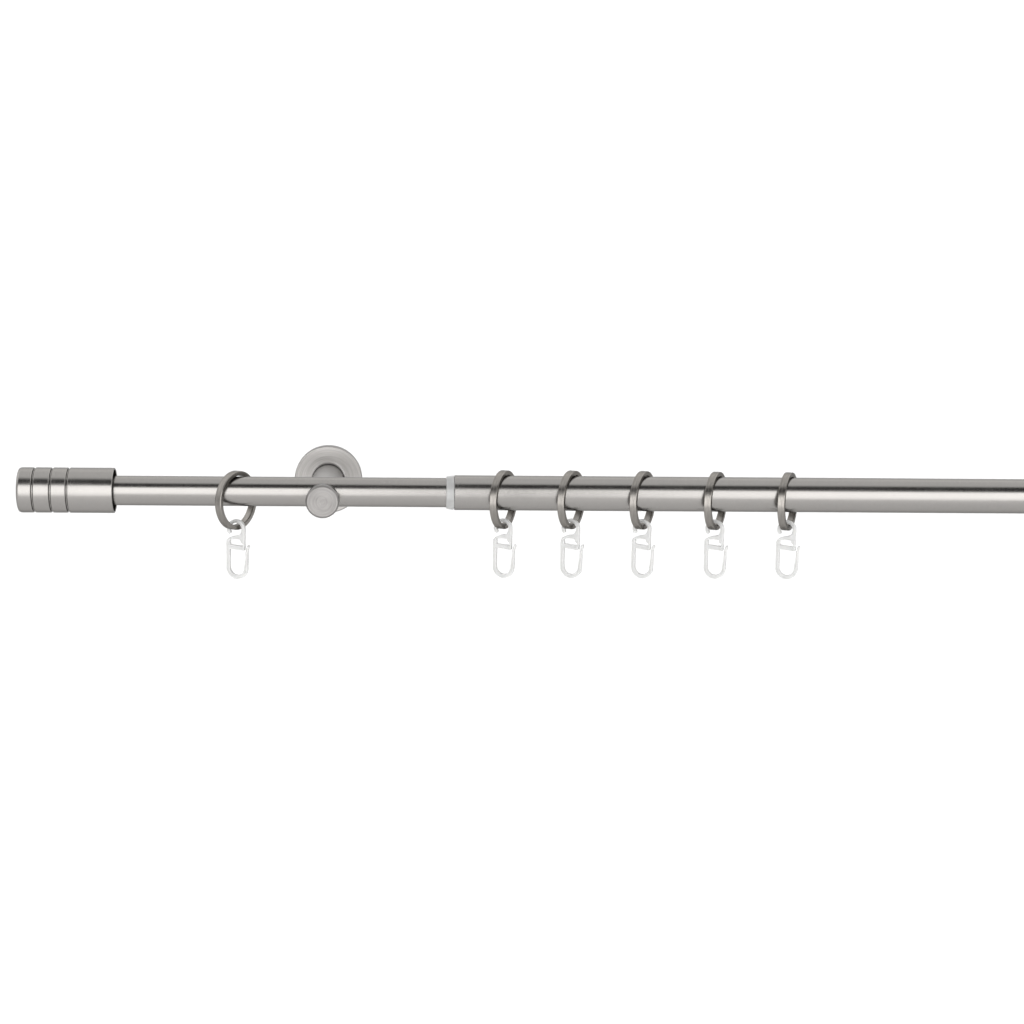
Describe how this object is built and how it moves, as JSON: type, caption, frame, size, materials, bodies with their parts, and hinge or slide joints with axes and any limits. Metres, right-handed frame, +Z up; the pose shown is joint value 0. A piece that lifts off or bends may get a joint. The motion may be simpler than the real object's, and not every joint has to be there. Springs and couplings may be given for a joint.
{
  "type": "curtain rod with brackets",
  "caption": "Telescopic metal curtain rod on round wall brackets, with grooved end caps, flat curtain rings and plastic hooks.",
  "frame": {"origin": "centre of the left bracket's wall face, on the axis of the bracket arm", "axes": "+X along the rod from the slim tube to the thick tube, +Y into the wall, +Z up"},
  "size_m": [1.198, 0.1215, 0.0642],
  "materials": {
    "satin_steel": "satin nickel plated steel, fine brushing round the tube",
    "brushed_nickel": "satin nickel, turned and brushed in circles",
    "ring_nickel": "darker satin nickel",
    "zinc_steel": "bright zinc plated",
    "milky_plastic": "translucent milky white moulding",
    "clear_plastic": "translucent grey-white moulding",
    "grey_plastic": "plain grey moulding"
  },
  "bodies": {
    "left_bracket": {"left_wall_plate": "zinc_steel", "left_wall_screw_upper": "zinc_steel", "left_wall_screw_lower": "zinc_steel", "left_rosette": "brushed_nickel", "left_bracket_arm": "brushed_nickel", "left_arm_grub_screw": "zinc_steel"},
    "inner_rod": {"inner_tube": "satin_steel", "inner_tube_guide": "grey_plastic"},
    "outer_rod": {"outer_tube": "satin_steel", "tube_collar": "clear_plastic"},
    "right_bracket": {"right_wall_plate": "zinc_steel", "right_wall_screw_upper": "zinc_steel", "right_wall_screw_lower": "zinc_steel", "right_rosette": "brushed_nickel", "right_bracket_arm": "brushed_nickel", "right_arm_grub_screw": "zinc_steel"},
    "left_finial": {"left_finial_shell": "satin_steel", "left_finial_insert": "grey_plastic"},
    "left_clamp": {"left_rod_clamp_screw": "zinc_steel"},
    "right_finial": {"right_finial_shell": "satin_steel", "right_finial_insert": "grey_plastic"},
    "right_clamp": {"right_rod_clamp_screw": "zinc_steel"},
    "ring_01": {"curtain_ring_01": "ring_nickel"},
    "hook_01": {"curtain_hook_01": "milky_plastic"},
    "ring_02": {"curtain_ring_02": "ring_nickel"},
    "hook_02": {"curtain_hook_02": "milky_plastic"},
    "ring_03": {"curtain_ring_03": "ring_nickel"},
    "hook_03": {"curtain_hook_03": "milky_plastic"},
    "ring_04": {"curtain_ring_04": "ring_nickel"},
    "hook_04": {"curtain_hook_04": "milky_plastic"},
    "ring_05": {"curtain_ring_05": "ring_nickel"},
    "hook_05": {"curtain_hook_05": "milky_plastic"},
    "ring_06": {"curtain_ring_06": "ring_nickel"},
    "hook_06": {"curtain_hook_06": "milky_plastic"},
    "ring_07": {"curtain_ring_07": "ring_nickel"},
    "hook_07": {"curtain_hook_07": "milky_plastic"},
    "ring_08": {"curtain_ring_08": "ring_nickel"},
    "hook_08": {"curtain_hook_08": "milky_plastic"},
    "ring_09": {"curtain_ring_09": "ring_nickel"},
    "hook_09": {"curtain_hook_09": "milky_plastic"},
    "ring_10": {"curtain_ring_10": "ring_nickel"},
    "hook_10": {"curtain_hook_10": "milky_plastic"},
    "ring_11": {"curtain_ring_11": "ring_nickel"},
    "hook_11": {"curtain_hook_11": "milky_plastic"},
    "ring_12": {"curtain_ring_12": "ring_nickel"},
    "hook_12": {"curtain_hook_12": "milky_plastic"}
  },
  "joints": [
    {"name": "rod_shift", "type": "slide", "parent": "left_bracket", "child": "inner_rod", "axis": [1, 0, 0], "range_m": [-0.03, 0]},
    {"name": "telescope", "type": "slide", "parent": "inner_rod", "child": "outer_rod", "axis": [1, 0, 0], "range_m": [-0.025, 0.78]},
    {"name": "right_bracket_shift", "type": "slide", "parent": "outer_rod", "child": "right_bracket", "axis": [1, 0, 0], "range_m": [-0.078, 0.028]},
    {"name": "left_finial_pull", "type": "slide", "parent": "inner_rod", "child": "left_finial", "axis": [-1, 0, 0], "range_m": [0, 0.045]},
    {"name": "right_finial_pull", "type": "slide", "parent": "outer_rod", "child": "right_finial", "axis": [1, 0, 0], "range_m": [0, 0.045]},
    {"name": "left_clamp_turn_out", "type": "slide", "parent": "left_bracket", "child": "left_clamp", "axis": [0, 0, -1], "range_m": [0, 0.003]},
    {"name": "right_clamp_turn_out", "type": "slide", "parent": "right_bracket", "child": "right_clamp", "axis": [0, 0, -1], "range_m": [0, 0.003]},
    {"name": "ring_01_slide", "type": "slide", "parent": "inner_rod", "child": "ring_01", "axis": [1, 0, 0], "range_m": [-0.0539, 0.0269]},
    {"name": "hook_01_swing", "type": "hinge", "parent": "ring_01", "child": "hook_01", "pos_m": [-0.047, -0.08, -0.01721], "axis": [0.3338, 0.9426, 0], "range_deg": [-60, 60]},
    {"name": "ring_02_slide", "type": "slide", "parent": "outer_rod", "child": "ring_02", "axis": [1, 0, 0], "range_m": [-0.0181, 0.0272]},
    {"name": "hook_02_swing", "type": "hinge", "parent": "ring_02", "child": "hook_02", "pos_m": [0.0978, -0.08, -0.01593], "axis": [0.4147, 0.91, 0], "range_deg": [-60, 60]},
    {"name": "ring_03_slide", "type": "slide", "parent": "outer_rod", "child": "ring_03", "axis": [1, 0, 0], "range_m": [-0.0272, 0.0292]},
    {"name": "hook_03_swing", "type": "hinge", "parent": "ring_03", "child": "hook_03", "pos_m": [0.1348, -0.08, -0.01583], "axis": [0.4462, 0.8949, 0], "range_deg": [-60, 60]},
    {"name": "ring_04_slide", "type": "slide", "parent": "outer_rod", "child": "ring_04", "axis": [1, 0, 0], "range_m": [-0.0292, 0.0302]},
    {"name": "hook_04_swing", "type": "hinge", "parent": "ring_04", "child": "hook_04", "pos_m": [0.1739, -0.08, -0.01583], "axis": [0.4462, 0.8949, 0], "range_deg": [-60, 60]},
    {"name": "ring_05_slide", "type": "slide", "parent": "outer_rod", "child": "ring_05", "axis": [1, 0, 0], "range_m": [-0.0302, 0.03]},
    {"name": "hook_05_swing", "type": "hinge", "parent": "ring_05", "child": "hook_05", "pos_m": [0.214, -0.08, -0.01591], "axis": [0.4226, 0.9063, 0], "range_deg": [-60, 60]},
    {"name": "ring_06_slide", "type": "slide", "parent": "outer_rod", "child": "ring_06", "axis": [1, 0, 0], "range_m": [-0.03, 0.3454]},
    {"name": "hook_06_swing", "type": "hinge", "parent": "ring_06", "child": "hook_06", "pos_m": [0.2538, -0.08, -0.01595], "axis": [0.4067, 0.9135, 0], "range_deg": [-60, 60]},
    {"name": "ring_07_slide", "type": "slide", "parent": "outer_rod", "child": "ring_07", "axis": [1, 0, 0], "range_m": [-0.3454, 0.03]},
    {"name": "hook_07_swing", "type": "hinge", "parent": "ring_07", "child": "hook_07", "pos_m": [0.6182, -0.08, -0.01595], "axis": [-0.4067, 0.9135, 0], "range_deg": [-60, 60]},
    {"name": "ring_08_slide", "type": "slide", "parent": "outer_rod", "child": "ring_08", "axis": [1, 0, 0], "range_m": [-0.03, 0.0303]},
    {"name": "hook_08_swing", "type": "hinge", "parent": "ring_08", "child": "hook_08", "pos_m": [0.658, -0.08, -0.01591], "axis": [-0.4226, 0.9063, 0], "range_deg": [-60, 60]},
    {"name": "ring_09_slide", "type": "slide", "parent": "outer_rod", "child": "ring_09", "axis": [1, 0, 0], "range_m": [-0.0303, 0.0293]},
    {"name": "hook_09_swing", "type": "hinge", "parent": "ring_09", "child": "hook_09", "pos_m": [0.6981, -0.08, -0.01583], "axis": [-0.4462, 0.8949, 0], "range_deg": [-60, 60]},
    {"name": "ring_10_slide", "type": "slide", "parent": "outer_rod", "child": "ring_10", "axis": [1, 0, 0], "range_m": [-0.0293, 0.0272]},
    {"name": "hook_10_swing", "type": "hinge", "parent": "ring_10", "child": "hook_10", "pos_m": [0.7372, -0.08, -0.01583], "axis": [-0.4462, 0.8949, 0], "range_deg": [-60, 60]},
    {"name": "ring_11_slide", "type": "slide", "parent": "outer_rod", "child": "ring_11", "axis": [1, 0, 0], "range_m": [-0.0272, 0.0797]},
    {"name": "hook_11_swing", "type": "hinge", "parent": "ring_11", "child": "hook_11", "pos_m": [0.7742, -0.08, -0.01593], "axis": [-0.4147, 0.91, 0], "range_deg": [-60, 60]},
    {"name": "ring_12_slide", "type": "slide", "parent": "outer_rod", "child": "ring_12", "axis": [1, 0, 0], "range_m": [-0.0282, 0.0552]},
    {"name": "hook_12_swing", "type": "hinge", "parent": "ring_12", "child": "hook_12", "pos_m": [0.919, -0.08, -0.01576], "axis": [-0.2334, 0.9724, 0], "range_deg": [-60, 60]}
  ]
}
